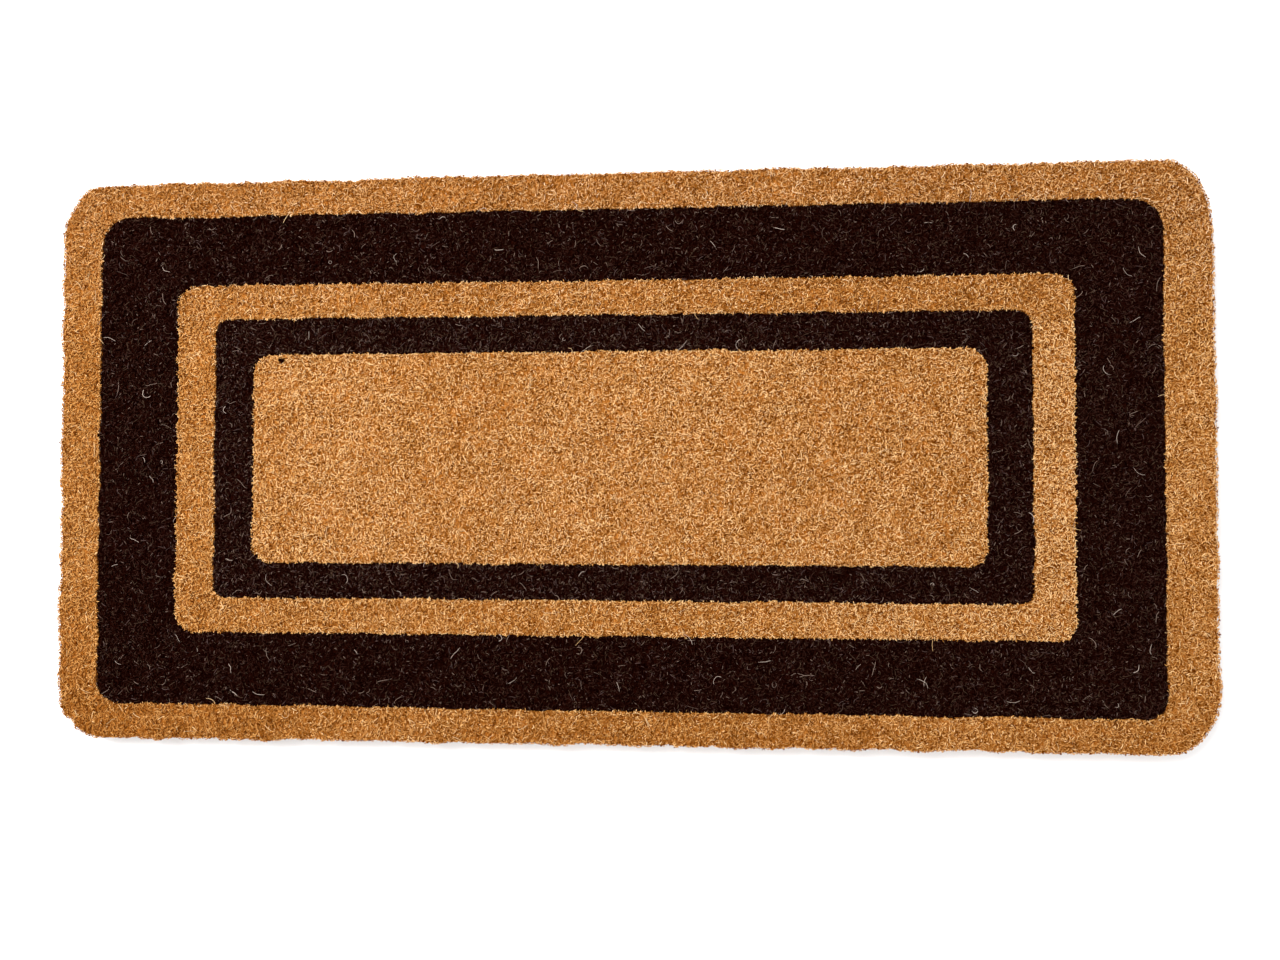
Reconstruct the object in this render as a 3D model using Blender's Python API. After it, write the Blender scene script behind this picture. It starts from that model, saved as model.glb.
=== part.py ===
"""Hand-woven coir door mat with two dark bands.

Warp chains run along the mat, one weft cord goes to and fro across them, an edge cord binds the
outline, and the sheared coir pile stands on the weave in five colour zones. Metres, +Z up, X along
the mat's length, origin at the centre of the underside.
"""

import math

import bmesh
import bpy

# Overall size
MAT_LENGTH = 1.2192
MAT_WIDTH = 0.6045
MAT_THICKNESS = 0.032
OUTLINE_RADIUS = 0.054
GAP = 0.0003  # kept between pieces that touch

# Woven base: chains below, the weft over them
CHAIN_COUNT = 27
CHAIN_PITCH = 0.0216
CHAIN_WIDTH = 0.0154
CHAIN_HEIGHT = 0.0060
CHAIN_FLAT = 0.6  # share of a chain's width that lies flat on the floor
WEFT_THICKNESS = 0.0030
PICK_COUNT = 92
PICK_PITCH = 0.01295
TURN_CORNER = 0.0040  # cut across each corner of the weft's turns

# Edge cord, bound round the base under the pile's rim
EDGE_CORD_DIAMETER = 0.0090
EDGE_CORD_INSET = 0.0080  # from the outline to the cord's centreline

# Pile
PILE_BOTTOM = 0.0096
PATTERN_SHIFT = -0.0040  # the pattern sits a little off centre along the length
CORNER_STEPS = 8
# Each zone from the rim inwards: its width at the mat's ends and along its sides, and the radius
# of its outer corners
BORDER = {"ends": 0.0470, "sides": 0.0382, "radius": OUTLINE_RADIUS}
WIDE_BAND = {"ends": 0.0863, "sides": 0.0754, "radius": 0.0250}
MID_BAND = {"ends": 0.0439, "sides": 0.0388, "radius": 0.0200}
NARROW_BAND = {"ends": 0.0429, "sides": 0.0367, "radius": 0.0150}
CENTRE_RADIUS = 0.0190
# The rim's side, as insets from the outline at heights from the underside
RIM_PROFILE = (
    (0.0040, PILE_BOTTOM),
    (0.0010, 0.0140),
    (0.0000, 0.0180),
    (0.0000, 0.0265),
    (0.0018, 0.0300),
    (0.0055, MAT_THICKNESS),
)

# Colours are linear
COIR_NATURAL = (0.420, 0.200, 0.062)
COIR_DARK = (0.016, 0.007, 0.005)
COIR_YARN = (0.330, 0.160, 0.055)


def make_material(name, colour, roughness):
    """A plain, dry fibre material."""
    material = bpy.data.materials.new(name)
    material.use_nodes = True
    shader = material.node_tree.nodes["Principled BSDF"]
    shader.inputs["Base Color"].default_value = (*colour, 1.0)
    shader.inputs["Roughness"].default_value = roughness
    shader.inputs["Metallic"].default_value = 0.0
    material.diffuse_color = (*colour, 1.0)
    return material


def add_object(name, data, material, location=(0.0, 0.0, 0.0)):
    """Links a mesh or curve as a named object with one material."""
    part = bpy.data.objects.new(name, data)
    bpy.context.collection.objects.link(part)
    part.location = location
    if not data.materials:
        data.materials.append(material)
    return part


def mesh_from(bm, name):
    """Turns a bmesh into a mesh with its faces outwards and its round stretches smooth."""
    bmesh.ops.recalc_face_normals(bm, faces=bm.faces[:])
    mesh = bpy.data.meshes.new(name)
    bm.to_mesh(mesh)
    bm.free()
    mesh.shade_smooth()
    mesh.set_sharp_from_angle(angle=math.radians(35.0))
    return mesh


def rounded_rectangle(half_x, half_y, radius, centre_x=0.0):
    """Points of a rectangle with round corners, anticlockwise, as (x, y)."""
    points = []
    for quarter, (side_x, side_y) in enumerate(((1, 1), (-1, 1), (-1, -1), (1, -1))):
        for step in range(CORNER_STEPS + 1):
            angle = math.pi / 2 * (quarter + step / CORNER_STEPS)
            x = centre_x + side_x * (half_x - radius) + radius * math.cos(angle)
            y = side_y * (half_y - radius) + radius * math.sin(angle)
            points.append((x, y))
    return points


def outline_reach(along, half_along, half_across, radius):
    """How far a rounded rectangle reaches across, at a distance along it from its centre."""
    past = abs(along) - (half_along - radius)
    if past <= 0.0:
        return half_across
    return half_across - radius + math.sqrt(radius * radius - past * past)


def zone_edges():
    """The zones' outer edges from the rim inwards, each as half sizes, radius and centre x."""
    half_x, half_y, centre_x = MAT_LENGTH / 2, MAT_WIDTH / 2, 0.0
    edges = [(half_x, half_y, OUTLINE_RADIUS, centre_x)]
    widths = (BORDER, WIDE_BAND, MID_BAND, NARROW_BAND)
    radii = (WIDE_BAND["radius"], MID_BAND["radius"], NARROW_BAND["radius"], CENTRE_RADIUS)
    for width, radius in zip(widths, radii):
        half_x -= width["ends"]
        half_y -= width["sides"]
        edges.append((half_x, half_y, radius, PATTERN_SHIFT))
    return edges


def add_loop(bm, edge, inset, height):
    """A closed loop of vertices that lies inside a zone's edge by the inset."""
    half_x, half_y, radius, centre_x = edge
    outline = rounded_rectangle(half_x - inset, half_y - inset, radius - inset, centre_x)
    return [bm.verts.new((x, y, height)) for x, y in outline]


def bridge(bm, loops, closed):
    """Joins each loop to the next with quads, and the last to the first when closed."""
    followers = loops[1:] + (loops[:1] if closed else [])
    for first, second in zip(loops, followers):
        for i in range(len(first)):
            j = (i + 1) % len(first)
            bm.faces.new((first[i], first[j], second[j], second[i]))


def pile_ring(name, outer_edge, inner_edge, outer_profile, material):
    """A ring of pile: its outer side follows the profile, its inner side is upright."""
    bm = bmesh.new()
    loops = [add_loop(bm, outer_edge, inset, height) for inset, height in outer_profile]
    loops.append(add_loop(bm, inner_edge, -GAP / 2, MAT_THICKNESS))
    loops.append(add_loop(bm, inner_edge, -GAP / 2, PILE_BOTTOM))
    bridge(bm, loops, closed=True)
    add_object(name, mesh_from(bm, name), material)


def pile_field(name, edge, material):
    """The pile inside the innermost band, a plain block with round corners."""
    bm = bmesh.new()
    bottom = add_loop(bm, edge, GAP / 2, PILE_BOTTOM)
    top = add_loop(bm, edge, GAP / 2, MAT_THICKNESS)
    bridge(bm, [bottom, top], closed=False)
    bm.faces.new(bottom)
    bm.faces.new(top)
    add_object(name, mesh_from(bm, name), material)


def build_pile(natural, dark):
    """The five zones of pile, from the rim to the centre."""
    rim, wide, mid, narrow, centre = zone_edges()
    upright = ((GAP / 2, PILE_BOTTOM), (GAP / 2, MAT_THICKNESS))
    pile_ring("pile_border_natural", rim, wide, RIM_PROFILE, natural)
    pile_ring("pile_band_wide_dark", wide, mid, upright, dark)
    pile_ring("pile_band_mid_natural", mid, narrow, upright, natural)
    pile_ring("pile_band_narrow_dark", narrow, centre, upright, dark)
    pile_field("pile_centre_natural", centre, natural)


def chain_mesh(name, length):
    """A flattened cord along X with a flat underside at z = 0."""
    wide, flat = CHAIN_WIDTH / 2, CHAIN_WIDTH * CHAIN_FLAT / 2
    low, high = CHAIN_HEIGHT * 0.3, CHAIN_HEIGHT * 0.7
    section = (
        (flat, 0.0),
        (wide, low),
        (wide, high),
        (flat, CHAIN_HEIGHT),
        (-flat, CHAIN_HEIGHT),
        (-wide, high),
        (-wide, low),
        (-flat, 0.0),
    )
    bm = bmesh.new()
    end = bm.faces.new([bm.verts.new((-length / 2, y, z)) for y, z in section])
    grown = bmesh.ops.extrude_face_region(bm, geom=[end])
    moved = [item for item in grown["geom"] if isinstance(item, bmesh.types.BMVert)]
    bmesh.ops.translate(bm, verts=moved, vec=(length, 0.0, 0.0))
    return mesh_from(bm, name)


def build_chains(yarn):
    """The warp chains, side by side, each as long as the edge cord leaves room for."""
    inset = EDGE_CORD_INSET + EDGE_CORD_DIAMETER / 2 + GAP
    half_x, half_y = MAT_LENGTH / 2 - inset, MAT_WIDTH / 2 - inset
    for index in range(CHAIN_COUNT):
        y = (index - (CHAIN_COUNT - 1) / 2) * CHAIN_PITCH
        far_side = abs(y) + CHAIN_WIDTH / 2
        reach = outline_reach(far_side, half_y, half_x, OUTLINE_RADIUS - inset)
        name = f"warp_chain_{index + 1:02d}"
        add_object(name, chain_mesh(name, 2 * reach), yarn, location=(0.0, y, 0.0))


def weft_route():
    """The weft's centreline: across the chains, round the end of the pick, and back again."""
    inset = EDGE_CORD_INSET + (EDGE_CORD_DIAMETER + WEFT_THICKNESS) / 2 + GAP
    half_x, half_y = MAT_LENGTH / 2 - inset, MAT_WIDTH / 2 - inset
    radius = OUTLINE_RADIUS - inset
    picks = [(index - (PICK_COUNT - 1) / 2) * PICK_PITCH for index in range(PICK_COUNT)]
    reaches = [outline_reach(x, half_x, half_y, radius) for x in picks]
    route = [(picks[0], -reaches[0])]
    side = 1
    for index in range(PICK_COUNT - 1):
        start, end = picks[index], picks[index + 1]
        turn = side * min(reaches[index], reaches[index + 1])
        before = turn - side * TURN_CORNER
        route.append((start, before))
        route.append((start + TURN_CORNER, turn))
        route.append((end - TURN_CORNER, turn))
        route.append((end, before))
        side = -side
    route.append((picks[-1], side * reaches[-1]))
    return route


def cord_curve(name, points, height, diameter, resolution, cyclic):
    """A round cord along level points, as a curve with a bevel and filled ends."""
    curve = bpy.data.curves.new(name, "CURVE")
    curve.dimensions = "3D"
    curve.bevel_depth = diameter / 2
    curve.bevel_resolution = resolution
    curve.use_fill_caps = True
    curve.twist_mode = "Z_UP"
    spline = curve.splines.new("POLY")
    spline.points.add(len(points) - 1)
    for point, (x, y) in zip(spline.points, points):
        point.co = (x, y, height, 1.0)
    spline.use_cyclic_u = cyclic
    return curve


def build_weft(yarn):
    """One continuous cord laid over the chains."""
    name = "weft_cord"
    height = CHAIN_HEIGHT + GAP + WEFT_THICKNESS / 2
    curve = cord_curve(name, weft_route(), height, WEFT_THICKNESS, 0, cyclic=False)
    add_object(name, curve, yarn)


def build_edge_cord(yarn):
    """The cord bound round the base, just inside the outline."""
    name = "edge_cord"
    half_x, half_y = MAT_LENGTH / 2 - EDGE_CORD_INSET, MAT_WIDTH / 2 - EDGE_CORD_INSET
    points = rounded_rectangle(half_x, half_y, OUTLINE_RADIUS - EDGE_CORD_INSET)
    height = EDGE_CORD_DIAMETER / 2
    curve = cord_curve(name, points, height, EDGE_CORD_DIAMETER, 2, cyclic=True)
    add_object(name, curve, yarn)


def main():
    for old in list(bpy.data.objects):
        bpy.data.objects.remove(old, do_unlink=True)
    natural = make_material("coir_natural", COIR_NATURAL, 0.90)
    dark = make_material("coir_dyed_dark", COIR_DARK, 0.85)
    yarn = make_material("coir_yarn", COIR_YARN, 0.88)
    build_pile(natural, dark)
    build_chains(yarn)
    build_weft(yarn)
    build_edge_cord(yarn)


main()
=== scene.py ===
import math

import bmesh
import bpy
import numpy as np
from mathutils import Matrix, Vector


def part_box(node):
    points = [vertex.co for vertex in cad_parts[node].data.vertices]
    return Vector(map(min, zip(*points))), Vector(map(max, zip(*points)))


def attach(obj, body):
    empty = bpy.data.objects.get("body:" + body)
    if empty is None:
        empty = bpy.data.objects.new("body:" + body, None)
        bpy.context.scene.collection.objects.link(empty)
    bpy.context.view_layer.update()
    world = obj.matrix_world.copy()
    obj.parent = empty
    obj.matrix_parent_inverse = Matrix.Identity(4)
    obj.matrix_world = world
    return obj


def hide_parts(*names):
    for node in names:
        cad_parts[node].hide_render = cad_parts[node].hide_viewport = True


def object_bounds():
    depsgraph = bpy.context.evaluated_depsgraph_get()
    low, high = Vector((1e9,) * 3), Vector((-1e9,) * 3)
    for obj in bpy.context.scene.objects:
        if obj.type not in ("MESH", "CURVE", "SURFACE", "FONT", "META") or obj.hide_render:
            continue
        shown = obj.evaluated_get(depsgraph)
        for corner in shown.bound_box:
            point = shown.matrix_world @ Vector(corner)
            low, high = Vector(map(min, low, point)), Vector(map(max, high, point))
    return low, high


# The looks of a hand-woven coir door mat. The frame's pile zones, chains, weft and edge cord are
# each replaced by a detailed piece. The pile is a lumpy ground of packed coir under more than
# three hundred thousand separate curved fibres. Metres; X along the mat, Y across it, Z up.

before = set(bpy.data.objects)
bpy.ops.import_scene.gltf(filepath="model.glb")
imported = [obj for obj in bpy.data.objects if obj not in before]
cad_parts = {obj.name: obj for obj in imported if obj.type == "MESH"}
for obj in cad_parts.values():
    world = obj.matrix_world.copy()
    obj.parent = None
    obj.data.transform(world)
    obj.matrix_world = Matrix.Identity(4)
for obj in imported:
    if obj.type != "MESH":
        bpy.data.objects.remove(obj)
CAD_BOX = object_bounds()

BODY = "root"
MM = 0.001

# Pile zones from the rim inwards: CAD node and colour family
ZONES = (
    ("pile_border_natural", "natural"),
    ("pile_band_wide_dark", "dark"),
    ("pile_band_mid_natural", "natural"),
    ("pile_band_narrow_dark", "dark"),
    ("pile_centre_natural", "natural"),
)
LAST_ZONE = len(ZONES) - 1
NATURAL_ZONES = [index for index, zone in enumerate(ZONES) if zone[1] == "natural"]
# The corners' signs along X and Y: far right, far left, near left, near right
QUARTERS = ((1, 1), (-1, 1), (-1, -1), (1, -1))
# Each zone's hand-cut outer corners in the order of QUARTERS: radius along X and along Y, in mm
CORNERS = (
    ((48.0, 80.0), (43.0, 62.0), (59.0, 48.0), (52.0, 62.0)),
    ((32.0, 32.0), (32.0, 32.0), (24.0, 24.0), (22.0, 22.0)),
    ((21.5, 21.5), (23.5, 23.5), (20.5, 20.5), (18.0, 18.0)),
    ((16.5, 16.5), (15.5, 15.5), (13.5, 13.5), (12.0, 12.0)),
    ((22.0, 22.0), (22.0, 22.0), (20.0, 20.0), (19.0, 19.0)),
)
# How far each zone's outer edge was laid off its true place, in mm
OFFSETS = ((0.0, 0.0), (1.1, -1.2), (0.7, -0.3), (0.8, -0.2), (-0.4, -0.3))

# Pile
GROUND_DROP = 2.6 * MM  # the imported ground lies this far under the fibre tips
GROUND_GRID = 2.6 * MM
GROUND_LUMP = 0.45 * MM
GROUND_GRAIN = 0.28 * MM
RIM_FLARE = (3.1 * MM, 1.5 * MM)  # how far fibres lean out past the CAD outline, ends and sides
# Natural tufts lean over the dark pile, so each zone's outline moves in or out by this much to
# keep the bands' widths
TUFT_LEAN = {"natural": -0.7 * MM, "dark": 1.4 * MM}
LEAN_WIDTH = 9.0 * MM  # fibres this near the rim tend to lean outwards
RIM_ROLL_WIDTH = 6.0 * MM  # the pile's top rolls over this near the rim
RIM_ROLL_DROP = 3.6 * MM
CUT_SKEW = 0.0026  # the outline is cut a little askew to the bands
# How far the outline and bands waver, in long waves and in short ones. The long waves fade to a
# share inside this width from the rim, and both are stronger at the left end
SWAY, FRAY = 0.75 * MM, 0.36 * MM
SWAY_WIDTH = 35.0 * MM
SWAY_FADE = 0.45
LIVELIER_LEFT = 0.22
ROW_HEIGHT = 0.12 * MM  # of the rows of tufts along the mat
PICK_HEIGHT = 0.10 * MM  # and of those across it
# A nick in the rim at the near left corner: its place, depth and spread
NICK_PLACE = (-0.5975, -0.2885)
NICK_DEPTH = 3.4 * MM
NICK_SPREAD = 4.0 * MM
MAX_PIECE_FACES = 190_000
FIBRE_SIDES = 3
# The ground's side at the rim, from foot to top: inset from the outline and rise, in mm
GROUND_SIDE = ((5.5, 0.0), (3.0, 4.5), (1.8, 9.0), (1.4, 14.0), (1.5, 17.5), (2.6, 19.3))

# Woven base
CHAIN_PITCH = 21.6 * MM
CHAIN_STEP = 5.5 * MM
CHAIN_SIDES = 10
PLY_PITCH = 22.0 * MM
PICK_PITCH = 12.95 * MM
PICK_COUNT = 92
WEFT_INSET = 14.3 * MM  # from the mat's outline to the weft's turns
WEFT_DIP = 1.6 * MM  # how far the weft sinks between two chains
WEFT_BULGE = 1.2 * MM  # how far a turn of the weft reaches past its picks
ROPE_POINTS = 1260
ROPE_TWISTS = 110
ROPE_STRANDS = 3
STRAND_RADIUS = 0.27  # of one strand of the rope, as a share of the rope's thickness
TWIST_RADIUS = 0.225  # from the rope's middle to a strand's, as a share of the same
STITCH_SPACING = 17.0 * MM
STITCH_RADIUS = 0.85 * MM
STITCH_SIDES = 5
STITCH_POINTS = 14
STITCH_SLANT = (3.0, 0.5)  # how far a stitch leans along the rope: middle and spread, in mm

# Layers of fibres from the ground up. Spacing, reach, level and radius are in millimetres; the
# tone shifts the tint towards dark or pale. The under layer's darker tone is painted shade of
# depth in the pile, and the curls' paler tone is painted light on the highest fibres. The last
# two are dark specks, which come in patches: painted shadow of the gaps between tufts
LAYERS = (
    {"name": "under", "spacing": 2.7, "reach": (3.2, 6.5), "level": -1.3, "tone": -0.9,
     "radius": 0.42, "path": (0.0, 0.45, 1.0), "arch": (-1.5, 0.0, -0.8), "seed": 200},
    {"name": "fibres", "spacing": 1.95, "reach": (1.8, 5.0), "level": -0.2, "tone": 0.0,
     "radius": 0.39, "path": (0.0, 0.16, 0.7, 1.0), "arch": (-2.8, -0.5, 0.0, -0.8), "seed": 210},
    {"name": "curls", "spacing": 6.0, "reach": (4.5, 9.5), "level": 0.3, "tone": 0.6,
     "radius": 0.30, "path": (0.0, 0.1, 0.35, 0.6, 0.85, 1.0),
     "arch": (-3.2, -0.6, 0.0, 0.1, -0.2, -0.8), "seed": 220},
    {"name": "pits", "spacing": 4.8, "reach": (1.0, 2.1), "level": 0.4, "tone": -4.0,
     "radius": 0.58, "path": (0.0, 0.5, 1.0), "arch": (-0.5, 0.0, -0.5), "seed": 230,
     "patchy": 0.4},
    {"name": "gaps", "spacing": 8.6, "reach": (1.5, 3.2), "level": 0.3, "tone": -4.8,
     "radius": 1.0, "path": (0.0, 0.25, 0.75, 1.0), "arch": (-0.6, 0.0, 0.0, -0.6), "seed": 240,
     "patchy": 0.5},
)
CURL_TURN = 1.2  # how far a fibre turns from root to tip, as the spread of an angle
LEAN_SHARE = 0.75  # of the fibres at the very rim, which lean outwards, give or take this angle
LEAN_SPREAD = 0.5
LIFT_SPREAD = 0.42 * MM  # of the fibres' height
TIP_SPREAD = 0.5 * MM  # of their tips' height besides
HIGHEST = 1.2 * MM  # no fibre stands further than this over the pile
MOST_SLACK = 2.6  # how far the fullest clumps lean over a zone's edge, in mm, times the range
SLACK_RANGE = (0.4, 1.2)
RADIUS_RANGE = (0.75, 1.25)  # of a layer's fibres, against the layer's own
TURN_TRIES = 7  # how often a fibre that leaves its zone is turned and shortened
SHORTER = 0.88  # how much is left of its reach each time
SHORTEST = 0.3  # and how much of that, if it still leaves its zone after the last turn
# Ragged tufts along the edges between natural and dark pile, in millimetres: roots are set back
# from the edge, and the lift adds to the arch. Their paler tone is a painted highlight of the
# tufts catching light at the edge
TUFTS = {"spacing": 0.55, "setback": (0.2, 2.6), "reach": (1.6, 3.6), "radius": (0.28, 0.46),
         "path": (0.0, 0.3, 0.7, 1.0), "arch": (-2.4, -0.3, 0.1, -0.8), "lift": (0.35, 0.3),
         "turn": 0.5, "curl": 0.8, "tone": 0.55, "seed": 300}
OUTER_REACH = 0.74  # of the tufts on the natural zones' outer edges, against the inner ones
ROW_TONE = (0.065, 0.04)  # how much the rows of tufts show as tone, and the half rows between
DRIFT_TONE = 0.12  # how much the tone drifts over the mat at random
PATCH_SHADE = 0.22  # and from tuft to tuft
MIDDLE_BAND_Y = 0.46  # beyond this share of the half width lies the middle band's far side
SHADOW_SPECK_SCATTER = 1.2  # how loosely the dark specks of painted shadow keep to their patches
SHADOW_SPECK_DRIFT = 0.6  # and how much commoner they are to the right
# Upright fibres of the mat's side: insets from foot to tip and height of the tips, in mm
BRISTLE_COUNT = 11_500
BRISTLE_INSETS = ((3.0, 5.5), (1.4, 3.0), (0.6, 2.0), (0.4, 1.7), (0.4, 2.4))
BRISTLE_TOP = (23.0, 30.5)
BRISTLE_RADIUS = (0.28, 0.45)
BRISTLE_BULGE = 0.25  # in mm, at the tips
BRISTLE_DRIFT, BRISTLE_WAVE = 1.3 * MM, 0.5 * MM  # along the rim, at the tips and at each step
BRISTLE_TONE = -0.6

# Linear colours, dark to pale
NATURAL_TINTS = (
    (0.135, 0.030, 0.0015),
    (0.305, 0.099, 0.011),
    (0.462, 0.187, 0.040),
    (0.608, 0.293, 0.083),
    (0.745, 0.404, 0.146),
    (0.885, 0.572, 0.272),
)
DARK_TINTS = (
    (0.0046, 0.0003, 0.0001),
    (0.0095, 0.0014, 0.0006),
    (0.0175, 0.0042, 0.0022),
    (0.0320, 0.0112, 0.0075),
    (0.0530, 0.0285, 0.0170),
    (0.0780, 0.0455, 0.0400),
    (0.1500, 0.0990, 0.0760),
)
NATURAL_GLOSS = (0.0, 0.0, 0.01, 0.03, 0.05, 0.08)
DARK_GLOSS = (0.0, 0.01, 0.02, 0.04, 0.06, 0.10, 0.12)
# Dull natural fibres have this much more red, green and blue; their share grows towards the far
# side, from the first place to the second as a share of the mat's half width
DULLING = (1.0, 1.055, 1.27)
DULL_FROM, DULL_TO = 0.42, 0.82
GOLDEN = 0.6180339887  # steps of the golden ratio spread the dull fibres evenly
MIDDLE_TINT = {"natural": 3.38, "dark": 1.78}  # counted from the darkest tint
# How widely the fibres' tints spread round the middle one in each zone
TINT_SPREAD = (1.15, 1.62, 1.35, 1.80, 1.50)
# Most fibres keep closer to the middle tint than that, and this share of them strays further off
ODD_SHARE = 0.18
PLAIN_SPREAD = 0.76
ODD_SPREAD = 1.85
STRAY_TINTS = {
    "natural": ((0.62, 0.38, 0.17), (0.78, 0.53, 0.28)),
    "dark": ((0.11, 0.068, 0.052), (0.24, 0.165, 0.130), (0.47, 0.37, 0.31)),
}
# Loose fibres on the pile, in millimetres; the spacing is one for each colour family
LOOSE = {"spacing": {"natural": 36.0, "dark": 38.0}, "reach": (7.0, 18.0), "rise": 1.3,
         "sink": 0.6, "radius": (0.18, 0.30), "points": 9, "curl": 1.4, "seed": 500}
COILED_SHARE = 0.15  # of the loose fibres, which turn this much further
COILED_TURN = 3.5
# A spot of dye inside the centre field's far left corner: its middle from the corner, and radius
DYE_SPOT = (30.9 * MM, 6.6 * MM)
DYE_SPOT_RADIUS = 2.2 * MM
DYED = {"count": 60, "spread": 0.42, "reach": (1.0, 2.4), "path": (0.0, 0.5, 1.0),
        "arch": (-1.0, 0.5, 0.2), "radius": (0.32, 0.48), "seed": 700}
# Packed coir's material: the strands' directions in degrees and their width against their length,
# where the noise passes from the darkest shade to the palest, its patches and relief
STRAND_TURNS = (12.0, 58.0, 101.0, 149.0)
STRAND_STRETCH = 0.16
SHADE_STOPS = (0.46, 0.74)
PATCH_FINENESS = 28.0
PATCH_TONE = {"From Min": 0.3, "From Max": 0.7, "To Min": 0.78, "To Max": 1.18}
RELIEF_DEPTH = 0.6 * MM

# Stage: the lights' names, places, sizes and powers, and the camera's place from the middle of the
# mat's top
SURROUND_STRENGTH = 0.80
FLOOR_REACH = 25.0
LIGHTS = (
    ("key", (-0.9, 0.9, 2.0), 0.9, 66.0),
    ("overhead", (0.1, -0.1, 2.4), 2.0, 22.0),
)
CAMERA_LENS = 26.7
CAMERA_PLACE = (0.0955, -0.0480, 0.9947)
CAMERA_TILT = (1.38, 3.95, 0.0)  # in degrees


# ---------------------------------------------------------------- shapes


class Outline:
    """A rectangle with an elliptic round at each corner, in the order of QUARTERS."""

    def __init__(self, centre, half, radii):
        self.centre = np.array(centre, float)
        self.half = np.array(half, float)
        self.radii = np.array(radii, float)  # one row for each corner: along X, along Y

    def inset(self, depth):
        radii = np.maximum(self.radii - depth, 0.2 * MM)
        return Outline(self.centre, self.half - depth, radii)

    def depth(self, points):
        """How far points lie inside the outline; negative outside."""
        offset = points - self.centre
        right, far = offset[..., 0] >= 0, offset[..., 1] >= 0
        radius = self.radii[np.where(far, np.where(right, 0, 1), np.where(right, 3, 2))]
        past = np.abs(offset) - (self.half - radius)
        straight = (self.half - np.abs(offset)).min(axis=-1)
        beyond = np.maximum(past, 1e-9)
        rounds = np.linalg.norm(beyond, axis=-1) * (1.0 / np.linalg.norm(beyond / radius, axis=-1) - 1.0)
        return np.where((past > 0.0).all(axis=-1), rounds, straight)

    def loop(self, along_x, along_y, along_corner):
        """Points round the outline with a set number of steps on each side and corner."""
        arcs = []
        for quarter, sign in enumerate(QUARTERS):
            radius = self.radii[quarter]
            turn = (quarter + np.linspace(0, 1, along_corner + 1)) * math.pi / 2
            arc = np.stack([np.cos(turn), np.sin(turn)], 1) * radius
            arcs.append(np.array(sign) * (self.half - radius) + arc)
        points = []
        for quarter, arc in enumerate(arcs):
            steps = (along_x, along_y)[quarter % 2]
            share = np.arange(1, steps)[:, None] / steps
            following = arcs[(quarter + 1) % 4][0]
            points += [arc, arc[-1] + (following - arc[-1]) * share]
        return self.centre + np.concatenate(points)

    def walk(self, count, rng=None):
        """Points round the outline and their outward normals, evenly spaced or at random."""
        fine = self.loop(600, 300, 60)
        step = np.roll(fine, -1, axis=0) - fine
        length = np.linalg.norm(step, axis=1)
        travelled = np.concatenate([[0.0], np.cumsum(length)])
        spots = np.arange(count) if rng is None else rng.uniform(0, count, count)
        at = spots * travelled[-1] / count
        closed = np.vstack([fine, fine[:1]])
        points, ahead = (
            np.stack([np.interp(place, travelled, line) for line in closed.T], 1)
            for place in (at, (at + 0.5 * MM) % travelled[-1])
        )
        run = unit(ahead - points)
        return points, np.stack([run[:, 1], -run[:, 0]], 1)


class WaveField:
    """A smooth random field of unit spread, made of plane waves in a range of wavelengths."""

    def __init__(self, seed, shortest, longest, waves=28):
        rng = np.random.default_rng(seed)
        heading = rng.uniform(0, 2 * math.pi, waves)
        number = 2 * math.pi / np.exp(rng.uniform(math.log(shortest), math.log(longest), waves))
        self.waves = np.stack([number * np.cos(heading), number * np.sin(heading)], 1)
        self.phases = rng.uniform(0, 2 * math.pi, waves)

    def __call__(self, points):
        total = np.zeros(points.shape[:-1])
        for wave, phase in zip(self.waves, self.phases):
            total += np.sin(points @ wave + phase)
        return total * math.sqrt(2 / len(self.phases))


def outlines_from_frame():
    """The outer outline of each pile zone, and the pile's bottom and top heights."""
    found = []
    for (node, family), radii, offset in zip(ZONES, CORNERS, OFFSETS):
        low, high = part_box(node)
        centre = ((low[0] + high[0]) / 2 + offset[0] * MM, (low[1] + high[1]) / 2 + offset[1] * MM)
        half = ((high[0] - low[0]) / 2, (high[1] - low[1]) / 2)
        found.append(Outline(centre, np.add(half, TUFT_LEAN[family]), np.array(radii) * MM))
    found[0].half += np.subtract(RIM_FLARE, TUFT_LEAN["natural"])
    low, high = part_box(ZONES[0][0])
    return found, low[2], high[2]


OUTLINES, PILE_BOTTOM, PILE_TOP = outlines_from_frame()
RIM = OUTLINES[0]

SWAY_X = WaveField(11, 0.030, 0.140)
SWAY_Y = WaveField(12, 0.030, 0.140)
FRAY_X = WaveField(13, 0.006, 0.020)
FRAY_Y = WaveField(14, 0.006, 0.020)
CLUMPS = WaveField(18, 0.004, 0.010)
TONE = WaveField(15, 0.010, 0.060)
DRIFT = WaveField(17, 0.150, 0.600)
LUMPS = WaveField(16, 0.006, 0.012, 40)
PATCHES = WaveField(19, 0.025, 0.080)


def waver(points):
    """Moves plan points a little, so that the outline and bands waver as hand-cut edges do."""
    flat = points[..., :2]
    depth = np.clip(RIM.depth(flat) / SWAY_WIDTH, 0.0, 1.0)
    liveliness = 1.0 - LIVELIER_LEFT * flat[..., 0] / RIM.half[0]
    sway = liveliness * (1.0 - SWAY_FADE * depth) * SWAY
    fray = liveliness * FRAY
    moved = points.copy()
    moved[..., 1] += CUT_SKEW * flat[..., 0] * (1.0 - depth)
    moved[..., 0] += sway * SWAY_X(flat) + fray * FRAY_X(flat)
    moved[..., 1] += sway * SWAY_Y(flat) + fray * FRAY_Y(flat)
    off_nick = np.linalg.norm(flat - NICK_PLACE, axis=-1) / NICK_SPREAD
    nick = NICK_DEPTH * np.exp(-0.5 * off_nick**2)
    return moved + np.stack([nick, nick, 0.0 * nick], -1) / math.sqrt(2)


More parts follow.
